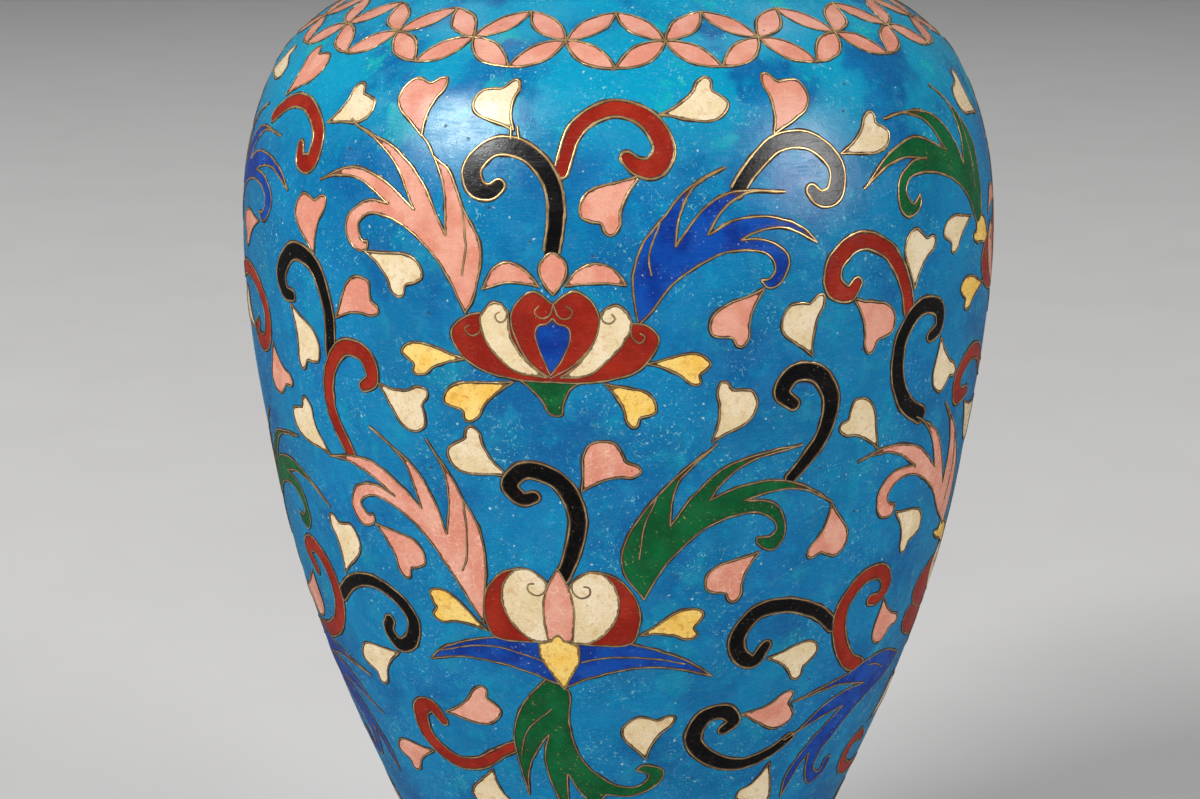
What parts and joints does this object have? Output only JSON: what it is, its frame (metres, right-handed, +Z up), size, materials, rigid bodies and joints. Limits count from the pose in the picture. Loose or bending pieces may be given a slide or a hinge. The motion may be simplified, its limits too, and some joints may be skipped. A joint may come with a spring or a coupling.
{
  "type": "cloisonne vase",
  "caption": "Baluster cloisonne vase: enamelled copper body with short flared neck, flared foot, brass rims, lotus flowers and plumes inlaid in turquoise.",
  "frame": {"origin": "middle of the foot's underside", "axes": "+Z up along the vase's axis, -Y towards the front pair of lotus flowers"},
  "size_m": [0.14, 0.14, 0.262],
  "materials": {
    "copper": "raised copper sheet, dull",
    "brass_rim": "worn gilt, satin",
    "brass_wire": "fine drawn wire, tarnished edges",
    "turquoise_enamel": "polished opaque enamel, mottled and pitted",
    "pink_enamel": "polished enamel with fine crazing",
    "cream_enamel": "polished enamel with rust specks",
    "red_enamel": "polished brick-red enamel",
    "cobalt_enamel": "polished cobalt enamel",
    "green_enamel": "polished green enamel with yellow specks",
    "yellow_enamel": "polished yellow enamel with brown specks",
    "black_enamel": "polished black enamel, chipped",
    "lining_enamel": "plain counter-enamel, uneven"
  },
  "bodies": {
    "root": {"copper_foot": "copper", "copper_lower_body": "copper", "copper_upper_body": "copper", "copper_shoulder": "copper", "copper_neck": "copper", "copper_lip": "copper", "base_plate": "copper", "mouth_rim": "brass_rim", "foot_rim": "brass_rim", "waist_wire": "brass_wire", "neck_wire": "brass_wire", "lip_wire": "brass_wire", "neck_ground_enamel": "turquoise_enamel", "foot_ground_enamel": "turquoise_enamel", "belly_ground_enamel": "turquoise_enamel", "base_enamel": "turquoise_enamel", "lining_enamel": "lining_enamel", "upper_lotus_1": "red_enamel", "upper_lotus_2": "red_enamel", "upper_lotus_3": "red_enamel", "upper_lotus_4": "red_enamel", "lower_lotus_1": "red_enamel", "lower_lotus_2": "red_enamel", "lower_lotus_3": "red_enamel", "lower_lotus_4": "red_enamel", "upper_left_plume_1": "pink_enamel", "upper_left_plume_2": "green_enamel", "upper_left_plume_3": "pink_enamel", "upper_left_plume_4": "green_enamel", "upper_right_plume_1": "cobalt_enamel", "upper_right_plume_2": "cobalt_enamel", "upper_right_plume_3": "cobalt_enamel", "upper_right_plume_4": "cobalt_enamel", "lower_left_plume_1": "pink_enamel", "lower_left_plume_2": "pink_enamel", "lower_left_plume_3": "pink_enamel", "lower_left_plume_4": "pink_enamel", "lower_right_plume_1": "green_enamel", "lower_right_plume_2": "green_enamel", "lower_right_plume_3": "green_enamel", "lower_right_plume_4": "green_enamel", "tail_plume_1": "green_enamel", "tail_plume_2": "cobalt_enamel", "tail_plume_3": "green_enamel", "tail_plume_4": "cobalt_enamel"}
  },
  "joints": []
}
